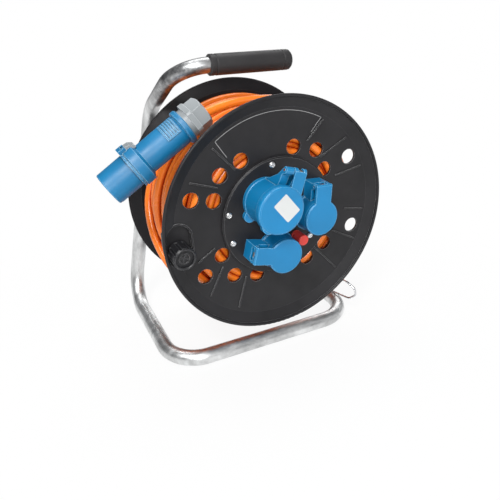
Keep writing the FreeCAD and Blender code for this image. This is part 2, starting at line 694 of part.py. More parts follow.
def cee_lid():
    shell = turned([(0, CEE_FACE), (CEE_LID_R - 2.6, CEE_FACE), (CEE_LID_R - 0.8, CEE_FACE + 0.8),
                    (CEE_LID_R, CEE_FACE + 2.6), (CEE_LID_R, -35.5), (26.4, -35.5), (26.4, -40.8),
                    (0, -40.8)])
    x0, x1 = CEE_ARM
    arm = block(x0, x1, CEE_FACE + 0.9, -41.2, 17.0, CEE_PIN_Z + 1.0)
    knuckles = knuckle(4.2, 1.55, CEE_PIN_Y, CEE_PIN_Z, ((x0, 8.4), (15.6, x1)))
    arm = arm.cut(Part.makeCylinder(1.55, 40, V(-20, CEE_PIN_Y, CEE_PIN_Z), V(1, 0, 0)))
    tab_at = polar(CEE_LID_R - 7.6, CEE_TAB_ANGLE)
    tab = rod(9.6, CEE_FACE + 1.0, -37.0, tab_at.x, tab_at.z).cut(rod(26.4, -50, -30))
    return fused([shell, arm, tab] + knuckles)


def cee_lid_gasket():
    return ring(25.2, 22.6, -40.8, -37.2)


def hinge_pin(radius, x0, x1, y, z):
    return Part.makeCylinder(radius, x1 - x0, V(x0, y, z), V(1, 0, 0))


def spring_sleeve(outer, inner, x0, x1, y, z):
    return knuckle(outer, inner, y, z, ((x0, x1),))[0]


# Two-pole socket, drawn the same way

WELL_R = 19.5
WELL_MOUTH = -23.4
WELL_FLOOR = -5.9
LID_UNDER = -23.7
LID_FACE = -28.0
LID_R = 21.6
TWO_PIN_Z = 38.2
TWO_PIN_Y = -21.0
TWO_PIN_R = 1.2
TWO_POLE_X = 9.5


def two_pole_housing():
    shell = turned([(WELL_R, WELL_MOUTH), (21.4, WELL_MOUTH), (22.4, -4.0), (23.8, -3.4),
                    (23.8, 0.0), (17.9, 0.0), (17.9, -2.9), (WELL_R, -2.9)])
    arm = block(-10.4, 10.4, -16.4, 0.0, 15.0, TWO_PIN_Z + 3.0).cut(rod(WELL_R + 0.6, -30, 1))
    ears = []
    ear = [(TWO_PIN_Z - 5.5, -16.0), (TWO_PIN_Z + 3.0, -16.0), (TWO_PIN_Z + 3.0, TWO_PIN_Y),
           (TWO_PIN_Z + 2.1, TWO_PIN_Y - 2.1), (TWO_PIN_Z, TWO_PIN_Y - 2.95),
           (TWO_PIN_Z - 2.1, TWO_PIN_Y - 2.1), (TWO_PIN_Z - 3.0, TWO_PIN_Y)]
    for x0, x1 in ((-10.4, -7.6), (7.6, 10.4)):
        ears.append(plate_zy(ear, x0, x1))
    body = fused([shell, arm] + ears)
    pin_hole = Part.makeCylinder(TWO_PIN_R, 40, V(-20, TWO_PIN_Y, TWO_PIN_Z), V(1, 0, 0))
    return body.cut(pin_hole)


def two_pole_insert():
    body = turned([(0, WELL_FLOOR), (WELL_R - 0.2, WELL_FLOOR), (WELL_R - 0.2, -2.9),
                   (17.5, -2.9), (17.5, 11.0), (0, 11.0)])
    cuts = [rod(3.2, -8, 9.0, x, 0) for x in (-TWO_POLE_X, TWO_POLE_X)]
    for side in (-1, 1):
        cuts.append(block(-4.2, 4.2, -8, -2.9, side * 16.2, side * 20))
    return body.cut(cuts)


def two_pole_contacts():
    return Part.makeCompound([ring(3.1, 2.45, WELL_FLOOR + 0.6, 8.0, x, 0)
                              for x in (-TWO_POLE_X, TWO_POLE_X)])


def two_pole_earth_clips():
    clips = []
    for side in (-1, 1):
        line = [(18.9, -3.1), (18.9, -21.5), (18.2, -21.5), (16.6, -14.0), (18.0, -7.0), (18.0, -3.1)]
        clips.append(plate_zy([(side * z, y) for z, y in line], -3.8, 3.8))
    return Part.makeCompound(clips)


def two_pole_lid():
    disc = turned([(0, LID_FACE), (LID_R - 1.0, LID_FACE), (LID_R, LID_FACE + 1.0),
                   (LID_R, LID_UNDER), (0, LID_UNDER)])
    tab = block(-10.4, 10.4, LID_FACE, LID_UNDER - 0.6, 8.0, TWO_PIN_Z + 3.0)
    rounding = [(8.0, LID_FACE - 1), (TWO_PIN_Z + 1.6, LID_FACE - 1), (TWO_PIN_Z + 1.6, LID_FACE),
                (TWO_PIN_Z + 3.0, LID_FACE + 1.4), (TWO_PIN_Z + 3.0, LID_UNDER + 1),
                (8.0, LID_UNDER + 1)]
    tab = tab.common(plate_zy(rounding, -12, 12))
    knuckles = knuckle(2.9, TWO_PIN_R + 0.05, TWO_PIN_Y, TWO_PIN_Z, ((-7.2, -3.2), (3.2, 7.2)))
    necks = [block(x0, x1, LID_UNDER - 1.0, TWO_PIN_Y - 1.6, TWO_PIN_Z - 2.2, TWO_PIN_Z + 1.6)
             for x0, x1 in ((-7.2, -3.2), (3.2, 7.2))]
    body = fused([disc, tab] + knuckles + necks)
    recess = turned([(16.0, LID_UNDER - 1.4), (19.0, LID_UNDER - 1.4), (19.0, -20), (16.0, -20)])
    return body.cut(recess)


def two_pole_gasket():
    return ring(19.0, 16.0, LID_UNDER - 1.4, LID_UNDER - 0.2)


# Thermal cut-out and its reset button

def cutout_body():
    x, z = BUTTON_AT
    case = rod(8.5, -66.9, -44.0, x, z)
    neck = rod(4.4, -81.0, -66.9, x, z)
    tabs = [block(x + dx - 0.5, x + dx + 0.5, -44.5, -36.0, z - 3, z + 3) for dx in (-4.5, 4.5)]
    return fused([case, neck] + tabs)


def cutout_nut():
    x, z = BUTTON_AT
    return ring(6.3, 4.45, PLATE_Y - 2.2, PLATE_Y, x, z)


def reset_button():
    x, z = BUTTON_AT
    body = turned([(0, -89.0), (5.8, -89.0), (6.7, -88.1), (6.7, -74.6), (4.8, -74.6),
                   (4.8, -86.0), (0, -86.0)])
    body.translate(V(x, 0, z))
    return body


def button_spring():
    x, z = BUTTON_AT
    return ring(4.3, 3.3, -83.8, -81.1, x, z)


# Crank

def crank_pin():
    at = knob_centre()
    body = turned([(0, -57.6), (6.0, -57.6), (6.0, -58.8), (3.95, -58.8), (3.95, -61.2),
                   (5.6, -61.2), (5.6, -62.4), (3.0, -62.4), (3.0, -78.4), (4.8, -78.4),
                   (4.8, -79.8), (4.0, -80.6), (0, -80.6)])
    body.translate(V(at.x, 0, at.z))
    return body




def crank_knob():
    at = knob_centre()
    body = turned([(3.06, -62.6), (KNOB_R - 1.4, -62.6), (KNOB_R, -64.0), (KNOB_R, -84.6),
                   (KNOB_R - 1.4, -86.0), (CAP_R + 0.8, -86.0), (CAP_R, -85.2), (CAP_R, CAP_SEAT),
                   (8.0, CAP_SEAT), (8.0, -76.0), (5.2, -76.0), (5.2, -78.2), (3.06, -78.2)])
    grips = []
    for i in range(10):
        spot = polar(KNOB_R + 1.2, 36 * i)
        grips.append(rod(2.0, -90, -66.0, spot.x, spot.z))
    body = body.cut(grips)
    body.translate(V(at.x, 0, at.z))
    return body


def crank_cap():
    """Disc in the knob's mouth, with a raised ring and a cross on it."""
    at = knob_centre()
    disc = rod(CAP_R - 0.05, CAP_SEAT - 1.4, CAP_SEAT)
    raised = [ring(6.6, 5.4, CAP_SEAT - 2.4, CAP_SEAT - 1.0)]
    for angle in (20, 110):
        bar = block(-4.6, 4.6, CAP_SEAT - 2.2, CAP_SEAT - 1.0, -0.8, 0.8)
        bar.rotate(HERE, AXIS_Y, angle)
        raised.append(bar)
    body = fused([disc] + raised)
    body.translate(V(at.x, 0, at.z))
    return body


# Cable on the drum

def wind_point(travel):
    """Centre line of the outer layer after this many turns, clockwise from the front."""
    y = WIND_BACK_Y - WIND_PITCH * travel
    y -= WIND_LOOSE * (1 - math.exp(-travel / WIND_LOOSE_TURNS))
    radius = WIND_MID_R + WIND_SLOPE * y
    radius += WIND_SLACK_R * math.sin(2 * math.pi * travel / 1.37)
    if travel > WIND_TURNS:
        radius -= 60.0 * (travel - WIND_TURNS) ** 2
    return polar(radius, WIND_START_ANGLE - 360.0 * travel, y)


def wind_tangent(travel):
    step = 0.0005
    return (wind_point(travel + step) - wind_point(travel - step)).normalize()


def arc_between(start, along, end):
    """The arc that leaves start along a direction and reaches end."""
    chord = end - start
    unit = V(chord).normalize()
    side = along - unit * along.dot(unit)
    turn = along.getAngle(unit)
    bulge = side.normalize() * (chord.Length / 2 * math.tan(turn / 2))
    return Part.Arc(start, start + chord * 0.5 + bulge, end).toShape()


def biarc(p0, t0, p1, t1):
    """Two tangent arcs between two points with a given direction at each."""
    v = p1 - p0
    t = t0 + t1
    lead = 2 * (1 - t0.dot(t1))
    dot = v.dot(t)
    d = (math.sqrt(dot * dot + lead * v.dot(v)) - dot) / lead
    middle = (p0 + p1 + (t0 - t1) * d) * 0.5
    first = arc_between(p0, t0, middle)
    heading = first.tangentAt(first.LastParameter)
    return [first, arc_between(middle, heading, p1)]


def wind_travels():
    count = int(round(WIND_TURNS * 2))
    halves = [i / 2 for i in range(count + 1)]
    return halves + [WIND_TURNS + 0.25]


def wind_start():
    along = wind_tangent(0.0)
    return wind_point(0.0) - along * LEAD_STRAIGHT, along


def cable_winding():
    lead_from, along = wind_start()
    edges = [Part.LineSegment(lead_from, wind_point(0.0)).toShape()]
    travels = wind_travels()
    for a, b in zip(travels[:-1], travels[1:]):
        edges += biarc(wind_point(a), wind_tangent(a), wind_point(b), wind_tangent(b))
    path = Part.Wire(edges)
    solid = tube_along(path, CABLE_R)
    expected = math.pi * CABLE_R ** 2 * path.Length
    print("winding: length %.0f mm, volume over section times length %.4f"
          % (path.Length, solid.Volume / expected))
    print("winding: least gap to itself %.2f mm" % least_gap(path))
    return solid


def least_gap(path):
    """Least gap between neighbouring turns, from points along the centre line."""
    points = path.discretize(Number=1200)
    per_turn = int(len(points) / (WIND_TURNS + 0.27))
    best = 1e9
    for i, p in enumerate(points):
        for j in range(i + int(per_turn * 0.7), min(i + int(per_turn * 1.3), len(points))):
            best = min(best, p.distanceToPoint(points[j]))
    return best - 2 * CABLE_R


def cable_core():
    """The inner layers as one body, with the rounded edges of the layers at its front."""
    drop = CABLE_R + WIND_SLACK_R + CORE_GAP
    front = -FLANGE_IN + 0.2
    back = FLANGE_IN - 0.2
    inner = BARREL_R + 0.2
    outer_front = WIND_MID_R + WIND_SLOPE * front - drop - 0.8
    outer_back = WIND_MID_R + WIND_SLOPE * back - drop
    layers = 4
    step = (outer_front - inner) / layers
    edges = []
    for i in range(layers):
        low = inner + step * i
        a = V(low, front + step / 2, 0)
        b = V(low + step, front + step / 2, 0)
        edges.append(Part.Arc(a, V(low + step / 2, front, 0), b).toShape())
    corners = [V(outer_front, front + step / 2, 0), V(outer_back, back, 0), V(inner, back, 0),
               V(inner, front + step / 2, 0)]
    for a, b in zip(corners[:-1], corners[1:]):
        edges.append(Part.LineSegment(a, b).toShape())
    core = Part.Face(Part.Wire(edges)).revolve(HERE, AXIS_Y, 360)
    cuts = []
    for at in pocket_ends():
        cuts.append(rod(POCKET_R + 2.6, -70, -58.2, at.x, at.z))
    return core.cut(cuts)


def tail_points():
    """A point inside the plug's seal, the hand-laid route and the winding's lead."""
    end, along = wind_start()
    points = [plug_place().multVec(V(4.0, 0, 3.0))]
    points += [polar(radius, angle, y) for angle, radius, y in TAIL_ROUTE]
    points.append(end - along * LEAD_RUN)
    points.append(end)
    return points


def cable_tail():
    points = tail_points()
    radii = []
    turns = []
    for i in range(1, len(points) - 1):
        before = points[i - 1] - points[i]
        after = points[i + 1] - points[i]
        half_turn = (math.pi - before.getAngle(after)) / 2
        turns.append(math.degrees(2 * half_turn))
        radii.append(0.45 * min(before.Length, after.Length) / math.tan(half_turn))
    path = bent_path(points, radii)
    solid = tube_along(path, CABLE_R)
    expected = math.pi * CABLE_R ** 2 * path.Length
    print("tail: radii " + ", ".join("%.0f" % r for r in radii))
    print("tail: turns " + ", ".join("%.0f" % t for t in turns))
    print("tail: runs " + ", ".join("%.0f" % a.distanceToPoint(b) for a, b in zip(points, points[1:])))
    print("tail: length %.0f mm, volume over section times length %.4f"
          % (path.Length, solid.Volume / expected))
    return solid


# Plug, drawn along +X from the end of its gland, then laid on the tangent

def plug_place():
    radius, angle, y = GLAND_AT
    turn = FreeCAD.Rotation(AXIS_Y, PLUG_TURN)
    tilt = FreeCAD.Rotation(V(0, 0, 1), PLUG_TILT)
    return FreeCAD.Placement(polar(radius, angle, y), turn.multiply(tilt))


def lay_plug(shape):
    moved = shape.copy()
    moved.Placement = plug_place()
    return moved


def plug_gland():
    """Hexagonal clamping nut on a wider hexagonal base."""
    round_off = turned([(0, 0), (15.6, 0), (18.9, 2.6), (18.9, NUT_END), (0, NUT_END)], "X")
    nut = hex_along_x(16.4, 0.0, NUT_END).common(round_off)
    base = hex_along_x(19.0, NUT_END, FLANGE_END)
    base_round = turned([(0, NUT_END), (20.4, NUT_END), (21.2, NUT_END + 1.2), (21.2, FLANGE_END),
                         (0, FLANGE_END)], "X")
    neck = turned([(0, FLANGE_END), (17.2, FLANGE_END), (17.2, GLAND_END), (0, GLAND_END)], "X")
    body = fused([nut, base.common(base_round), neck])
    mouth = Part.makeCylinder(MOUTH_R, 9.0, V(-1.0, 0, 0), V(1, 0, 0))
    bore = Part.makeCylinder(7.0, GLAND_END, V(7.0, 0, 0), V(1, 0, 0))
    return body.cut([mouth, bore])


def hex_along_x(half_flats, x0, x1):
    radius = half_flats / math.cos(math.pi / 6)
    points = []
    for i in range(6):
        a = math.radians(60 * i - 11)
        points.append(V(x0, -radius * math.sin(a), -radius * math.cos(a)))
    face = Part.Face(Part.makePolygon(points + points[:1]))
    return face.extrude(V(x1 - x0, 0, 0))


def plug_seal():
    return turned([(0, 2.0), (MOUTH_R - 0.1, 2.0), (MOUTH_R - 0.1, 8.0), (0, 8.0)], "X")


def plug_ring():
    return turned([(6.0, GLAND_END), (19.6, GLAND_END), (20.6, GLAND_END + 1.2),
                   (20.6, RING_END - 1.2), (19.6, RING_END), (6.0, RING_END)], "X")


def plug_handle():
    """Hollow handle with a ribbed thumb rest between two rails."""
    body = turned([(6.0, RING_END), (HANDLE_R - 0.8, RING_END), (HANDLE_R, RING_END + 3.0),
                   (HANDLE_R - 0.3, HANDLE_END), (14.6, HANDLE_END), (14.6, RING_END + 8),
                   (6.0, RING_END + 4)], "X")
    ribs = [block(x, x + 1.4, -20.0, 0.0, -20.0, -6.4)
            for x in [RING_END + 3.0 + 3.0 * i for i in range(5)]]
    rail = block(RING_END + 3.0, RING_END + 20.0, -20.0, 0.0, -6.4, -5.0)
    end_rail = block(RING_END + 18.4, RING_END + 20.0, -20.0, 0.0, -20.0, -5.0)
    skin = turned([(HANDLE_R - 1.6, RING_END + 3), (HANDLE_R + 0.8, RING_END + 3),
                   (HANDLE_R + 0.8, RING_END + 20), (HANDLE_R - 1.6, RING_END + 20)], "X")
    return fused([body, fused(ribs + [rail, end_rail]).common(skin)])


def plug_shroud():
    """Front part: collar that carries the ledge, and the round shroud with its key."""
    body = turned([(14.6, HANDLE_END), (HANDLE_R + 0.6, HANDLE_END), (23.2, HANDLE_END + 3.0),
                   (23.6, COLLAR_END - 3.6), (22.4, COLLAR_END - 2.8), (22.4, COLLAR_END - 2.0),
                   (23.0, COLLAR_END - 1.6), (23.0, COLLAR_END), (SHROUD_R, COLLAR_END),
                   (SHROUD_R - 0.3, PLUG_LENGTH - 0.8), (SHROUD_R - 1.0, PLUG_LENGTH),
                   (SHROUD_R - SHROUD_WALL, PLUG_LENGTH), (SHROUD_R - SHROUD_WALL, SHROUD_FLOOR),
                   (14.6, SHROUD_FLOOR)], "X")
    key = block(COLLAR_END - 2, PLUG_LENGTH - 3, -2.2, 2.2, SHROUD_R - 1.4, SHROUD_R + 1.0)
    post = block(COLLAR_END - 9.0, COLLAR_END, -6.0, 6.0, -27.0, -21.0)
    post = post.cut(block(COLLAR_END - 9.5, COLLAR_END - 5.0, -4.2, 4.2, -28.0, -24.4))
    return fused([body, key, post])


def plug_ledge():
    """Light insert on the collar that the socket's lid hooks behind."""
    outline = [V(HANDLE_END - 2.0, -5.4, -HANDLE_R - 1.0), V(HANDLE_END - 2.0, -5.4, -22.0),
               V(HANDLE_END + 2.5, -5.4, -25.6), V(COLLAR_END - 9.0, -5.4, -26.2),
               V(COLLAR_END - 9.0, -5.4, -HANDLE_R - 1.0)]
    face = Part.Face(Part.makePolygon(outline + outline[:1]))
    nub = face.extrude(V(0, 10.8, 0))
    collar = turned([(0, 60), (HANDLE_R + 0.6, 60), (HANDLE_R + 0.6, HANDLE_END),
                     (23.2, HANDLE_END + 3.0), (23.6, COLLAR_END - 3.6), (0, COLLAR_END)], "X")
    return nub.cut(collar)


def plug_insert():
    wall = SHROUD_R - SHROUD_WALL - 0.1
    body = turned([(0, RING_END + 14), (14.4, RING_END + 14), (14.4, SHROUD_FLOOR),
                   (wall, SHROUD_FLOOR), (wall, SHROUD_FLOOR + 3.0), (0, SHROUD_FLOOR + 3.0)], "X")
    holes = []
    for angle, pole_r in CEE_POLES:
        a = math.radians(angle)
        at = V(RING_END + 20, PLUG_POLE_R * math.cos(a), -PLUG_POLE_R * math.sin(a))
        holes.append(Part.makeCylinder(pole_r, 100, at, V(1, 0, 0)))
    return body.cut(holes)


def plug_pins():
    pins = []
    for angle, pole_r in CEE_POLES:
        a = math.radians(angle)
        reach = PLUG_LENGTH - (1.5 if pole_r > 2.7 else 5.0)
        start = RING_END + 20
        shank = turned([(0, start), (pole_r - 0.02, start), (pole_r - 0.02, reach - 1.2),
                        (pole_r - 1.2, reach), (0, reach)], "X")
        shank.translate(V(0, PLUG_POLE_R * math.cos(a), -PLUG_POLE_R * math.sin(a)))
        pins.append(shank)
    return Part.makeCompound(pins)


def two_pole_nodes(name, centre, hinge):
    return {
        name + "_housing": seat(two_pole_housing(), centre, hinge),
        name + "_insert": seat(two_pole_insert(), centre, hinge),
        name + "_contacts": seat(two_pole_contacts(), centre, hinge),
        name + "_earth_clips": seat(two_pole_earth_clips(), centre, hinge),
        name + "_hinge_pin": seat(hinge_pin(TWO_PIN_R, -10.3, 10.3, TWO_PIN_Y, TWO_PIN_Z), centre,
                                    hinge),
        name + "_lid_spring": seat(spring_sleeve(2.7, 1.5, -2.8, 2.8, TWO_PIN_Y, TWO_PIN_Z), centre,
                                     hinge),
        name + "_lid": seat(two_pole_lid(), centre, hinge),
        name + "_lid_gasket": seat(two_pole_gasket(), centre, hinge),
    }


def all_nodes():
    nodes = {
        "frame_tube": frame_tube(),
        "handle_grip": handle_grip(),
        "handle_end_plug": handle_end_plug(),
        "plug_hook": plug_hook(),
        "axle": axle(),
        "axle_nut": axle_nut(),
        "axle_washers": axle_washers(),
        "axle_circlip": axle_circlip(),
        "back_flange": back_flange(),
        "drum_barrel": drum_barrel(),
        "cord_clamp": cord_clamp(),
        "front_flange": front_flange(),
        "flange_screws": flange_screws(),
        "rear_bush": bush(62.0, BUSH_BACK, BUSH_BACK + 2.0),
        "front_bush": bush(BUSH_FRONT, 18.0, BUSH_FRONT - 2.0),
        "socket_plate": socket_plate(),
        "plate_screws": plate_screws(),
        "cee_housing": seat(cee_housing(), CEE_AT, CEE_HINGE),
        "cee_insert": seat(cee_insert(), CEE_AT, CEE_HINGE),
        "cee_insert_base": seat(cee_insert_base(), CEE_AT, CEE_HINGE),
        "cee_contacts": seat(cee_contacts(), CEE_AT, CEE_HINGE),
        "cee_screws": seat(cee_screws(), CEE_AT, CEE_HINGE),
        "cee_hinge_pin": seat(hinge_pin(1.5, -7.6, 20.1, CEE_PIN_Y, CEE_PIN_Z), CEE_AT, CEE_HINGE),
        "cee_lid_spring": seat(spring_sleeve(2.6, 1.8, 11.5, 15.3, CEE_PIN_Y, CEE_PIN_Z), CEE_AT,
                               CEE_HINGE),
        "cee_lid": seat(cee_lid(), CEE_AT, CEE_HINGE),
        "cee_lid_gasket": seat(cee_lid_gasket(), CEE_AT, CEE_HINGE),
        "cutout_body": cutout_body(),
        "cutout_nut": cutout_nut(),
        "button_spring": button_spring(),
        "reset_button": reset_button(),
        "crank_pin": crank_pin(),
        "crank_knob": crank_knob(),
        "crank_cap": crank_cap(),
        "cable_core": cable_core(),
        "cable_winding": cable_winding(),
        "cable_tail": cable_tail(),
        "plug_gland": lay_plug(plug_gland()),
        "plug_seal": lay_plug(plug_seal()),
        "plug_ledge": lay_plug(plug_ledge()),
        "plug_ring": lay_plug(plug_ring()),
        "plug_handle": lay_plug(plug_handle()),
        "plug_shroud": lay_plug(plug_shroud()),
        "plug_insert": lay_plug(plug_insert()),
        "plug_pins": lay_plug(plug_pins()),
    }
    nodes.update(two_pole_nodes("right_socket", RIGHT_AT, RIGHT_HINGE))
    nodes.update(two_pole_nodes("lower_socket", LOWER_AT, LOWER_HINGE))
    return nodes


os.makedirs("parts", exist_ok=True)
for node, shape in all_nodes().items():
    shape.translate(ORIGIN * -1)
    if not shape.isValid():
        print("not valid: " + node)
    shape.exportStep("parts/" + node + ".step")
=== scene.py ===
import json
import math

import bmesh
import bpy
from mathutils import Matrix, Vector


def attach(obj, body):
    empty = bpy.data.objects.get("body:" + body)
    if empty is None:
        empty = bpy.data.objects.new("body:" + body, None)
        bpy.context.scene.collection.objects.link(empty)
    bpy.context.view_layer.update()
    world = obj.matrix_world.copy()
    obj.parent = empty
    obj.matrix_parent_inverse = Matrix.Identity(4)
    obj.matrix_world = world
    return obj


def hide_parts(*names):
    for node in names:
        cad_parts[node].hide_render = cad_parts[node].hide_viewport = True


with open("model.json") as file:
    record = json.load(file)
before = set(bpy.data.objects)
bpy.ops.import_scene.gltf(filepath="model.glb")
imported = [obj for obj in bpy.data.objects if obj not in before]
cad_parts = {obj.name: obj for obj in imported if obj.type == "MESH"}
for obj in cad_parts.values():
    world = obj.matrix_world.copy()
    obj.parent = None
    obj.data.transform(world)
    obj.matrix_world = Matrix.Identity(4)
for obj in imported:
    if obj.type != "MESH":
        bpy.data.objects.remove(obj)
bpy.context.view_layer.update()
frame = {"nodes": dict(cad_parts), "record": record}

MM = 0.001
DRUM_CENTRE = Vector((2.3, -2.57, 173.5))   # drum's middle in the part's frame, mm
nodes = frame["nodes"]

# Lengths below are in millimetres from the drum's middle, angles in degrees: 0 is right and
# 90 is up, seen from the front. Y is the drum's axle and grows towards the back.


def at(x, y, z):
    """A point given in millimetres from the drum's middle, in the part's frame."""
    return (Vector((x, y, z)) + DRUM_CENTRE) * MM


def polar(angle, radius, y):
    """The same for a point given by its angle and radius about the axle."""
    a = math.radians(angle)
    return at(radius * math.cos(a), y, radius * math.sin(a))


def link(name, data):
    """A new object in the scene."""
    obj = bpy.data.objects.new(name, data)
    bpy.context.scene.collection.objects.link(obj)
    return obj


# Camera, fitted to the photograph

PHOTO = 500.0                     # the photograph is square, in pixels
CAMERA_AZIMUTH = math.radians(-26.105)
CAMERA_ELEVATION = math.radians(20.636)
CAMERA_ROLL = math.radians(-0.832)
CAMERA_DISTANCE = 701.8
FOCAL_LENGTH = 542.36             # pixels
OPTICAL_CENTRE = (253.42, 197.67)
SENSOR = 36.0


def make_camera():
    """A camera that looks at the drum's middle, which lands on the optical centre."""
    back = Vector((math.sin(CAMERA_AZIMUTH) * math.cos(CAMERA_ELEVATION),
                   -math.cos(CAMERA_AZIMUTH) * math.cos(CAMERA_ELEVATION),
                   math.sin(CAMERA_ELEVATION)))
    right = (-back).cross(Vector((0, 0, 1))).normalized()
    up = right.cross(-back)
    rolled_right = right * math.cos(CAMERA_ROLL) + up * math.sin(CAMERA_ROLL)
    rolled_up = up * math.cos(CAMERA_ROLL) - right * math.sin(CAMERA_ROLL)
    data = bpy.data.cameras.new("camera")
    data.sensor_width = SENSOR
    data.lens = FOCAL_LENGTH * SENSOR / PHOTO
    data.shift_x = (PHOTO / 2 - OPTICAL_CENTRE[0]) / PHOTO
    data.shift_y = (OPTICAL_CENTRE[1] - PHOTO / 2) / PHOTO
    data.clip_start = 0.01
    data.clip_end = 50.0
    cam = link("camera", data)
    turn = Matrix((rolled_right, rolled_up, back)).transposed()
    place = at(0, 0, 0) + back * CAMERA_DISTANCE * MM
    cam.matrix_world = Matrix.Translation(place) @ turn.to_4x4()
    bpy.context.scene.camera = cam


make_camera()


# Cord: one spline from the clamp in the barrel, through the inner layers and the outer
# layer, to the free end that lies over them and runs to the plug

CABLE_R = 5.2
POINTS_PER_TURN = 24
SPLINE_SHRINK = 0.9936            # a quadratic spline lies this much inside points on a circle

# The outer layer, counted in turns from the free end inwards
WIND_TURNS = 8.5
WIND_START_ANGLE = 157.0
WIND_START_Y = 55.5
WIND_PITCH = 10.9
FAN_SHIFT, FAN_TURNS = 14.0, 3.0  # its first turns lie wider apart than the rest
DIVE_SHIFT, DIVE_TURNS = 8.0, 0.12    # the free end comes in this much nearer the front
OUTER_R = 117.7
OUTER_TAPER = 0.08                # the radius grows this much for each mm to the back
SWAY, SWAY_TURNS = 0.5, 1.37      # the turns rise and fall this much

# The layers under it
LAYERS = 4
INNER_LAYER_R = 75.4
LAYER_END_Y = 56.4
ODD_LAYER_SHORT = 4.0             # every other layer ends this much before the flange
LAYER_PITCH = 10.45
NEST_DEPTH = 9.6                  # from the outer layer to the one under it
LAYER_STEP = 9.8                  # how much higher the cable comes from as it enters a layer
CLIMB_POINTS = 8.0                # points over which the cable climbs to the next layer
TURN_BACK_POINTS = 10.0           # points over which it takes up its pitch again
LAST_CLIMB_POINTS, LAST_CLIMB_Y = 14, 0.45    # its way into the outer layer
SLOW_WANDER, SLOW_RATE = 0.35, 0.0061
FAST_WANDER, FAST_RATE = 0.2, 0.0217

# Turns of the outer layer that lie looser on the left: (turn, shift along the drum, rise)
LOOSE_TURNS = ((0.10, 2.5, 0.4), (0.94, -7.0, 0.0), (1.94, -4.0, 0.0), (2.94, -1.5, 5.2),
               (4.92, 1.5, 3.0), (7.86, 0.0, 4.0))
LOOSE_WIDTH = 0.14
SLACK_DEPTH = 7.0                 # the turns near the front flange lie deeper on the right
SLACK_ANGLE = 7.0
SLACK_WIDTH = 45.0
SLACK_FROM_Y, SLACK_REACH = 15.0, 60.0
SLACK_BELOW = 0.75                # how much of it reaches the layers underneath

# From the clamp inside the barrel out through its notch to the innermost layer, as
# (angle, radius, y) points
LEAD_IN = ((-146.0, 62.1, -50.0), (-134.0, 62.9, -52.5), (-125.0, 65.6, -54.6),
           (-116.0, 69.6, -56.0), (-107.0, 73.6, -56.8))

# The free end, from the plug back over the winding
TAIL_ROUTE = ((115.2, 142.9, -35.0), (108.7, 139.3, -33.0), (102.4, 135.6, -29.5),
              (96.3, 132.6, -25.3), (90.0, 130.8, -21.2), (77.0, 130.9, -14.5),
              (64.0, 131.0, -8.0), (51.0, 131.2, -1.5), (38.0, 131.4, 5.0),
              (25.0, 131.6, 11.0), (12.0, 131.8, 15.5), (-1.0, 132.0, 18.5),
              (-14.0, 132.2, 20.0), (-27.0, 132.6, 20.0), (-40.0, 133.2, 18.5),
              (-53.0, 134.0, 16.0), (-66.0, 135.0, 13.0), (-79.0, 136.0, 9.5),
              (-92.0, 136.8, 6.0), (-105.0, 137.4, 2.5), (-117.0, 137.6, 0.0),
              (-128.0, 137.6, -0.8), (-138.5, 137.4, 1.0), (-147.5, 136.6, 6.5),
              (-155.0, 135.2, 14.5), (-161.5, 133.2, 23.5), (-167.2, 131.0, 31.5),
              (-173.5, 128.8, 38.0), (-179.6, 126.8, 42.5), (174.4, 125.0, 45.6))

PLUG_TURN, PLUG_TILT = math.radians(146.0), math.radians(1.3)
PLUG_FRAME = Matrix.Rotation(PLUG_TURN, 3, "Y") @ Matrix.Rotation(PLUG_TILT, 3, "Z")
GLAND_FACE = polar(120.9, 149.5, -35.0)
CORD_END = (4.0, 0, 3.0)          # inside the plug's gland


def slack(angle, y):
    """How much deeper the outermost layer lies at this place."""
    turn = (angle - SLACK_ANGLE + 180.0) % 360.0 - 180.0
    near_front = min(1.0, max(0.0, (SLACK_FROM_Y - y) / SLACK_REACH))
    return SLACK_DEPTH * math.exp(-(turn / SLACK_WIDTH) ** 2) * near_front


def outer_layer(travel):
    """(angle, radius, y) on the outer layer, after so many turns from the free end."""
    angle = WIND_START_ANGLE - 360.0 * travel
    y = WIND_START_Y - WIND_PITCH * travel - FAN_SHIFT * (1 - math.exp(-travel / FAN_TURNS))
    y -= DIVE_SHIFT * math.exp(-(travel / DIVE_TURNS))
    radius = OUTER_R + OUTER_TAPER * y + SWAY * math.sin(2 * math.pi * travel / SWAY_TURNS)
    radius -= slack(angle, y)
    for turn, shift, rise in LOOSE_TURNS:
        near = math.exp(-((travel - turn) / LOOSE_WIDTH) ** 2)
        y += shift * near
        radius += rise * near
    return angle, radius, y


def layer_radius(layer, angle, y):
    """Radius of a layer under the outer one, 0 being the innermost."""
    outer = OUTER_R + OUTER_TAPER * y - NEST_DEPTH
    share = layer / (LAYERS - 1)
    lower = SLACK_BELOW * share * slack(angle, y)
    return INNER_LAYER_R + (outer - INNER_LAYER_R) * share - lower


def inner_layers():
    """(angle, radius, y) of the layers under the outer one, from the outside inwards."""
    angle, _, y = outer_layer(WIND_TURNS)
    points = []
    toward = 1
    for layer in reversed(range(LAYERS)):
        end = LAYER_END_Y - (ODD_LAYER_SHORT if layer % 2 else 0.0)
        climb = 0
        while toward * y <= end:
            climb += 1
            angle -= 360.0 / POINTS_PER_TURN
            if layer == LAYERS - 1 and climb < LAST_CLIMB_POINTS:
                y -= LAST_CLIMB_Y
            else:
                pace = min(1.0, max(0.0, (climb - 2) / TURN_BACK_POINTS))
                y += toward * LAYER_PITCH / POINTS_PER_TURN * pace
            own = layer_radius(layer, angle, y)
            settled = min(climb / CLIMB_POINTS, 1.0)
            radius = (own + LAYER_STEP) * (1 - settled) + own * settled
            wander = (SLOW_WANDER * math.sin(angle * SLOW_RATE + layer)
                      + FAST_WANDER * math.sin(angle * FAST_RATE))
            points.append((angle, radius + wander, y))
        toward = -toward
    return points


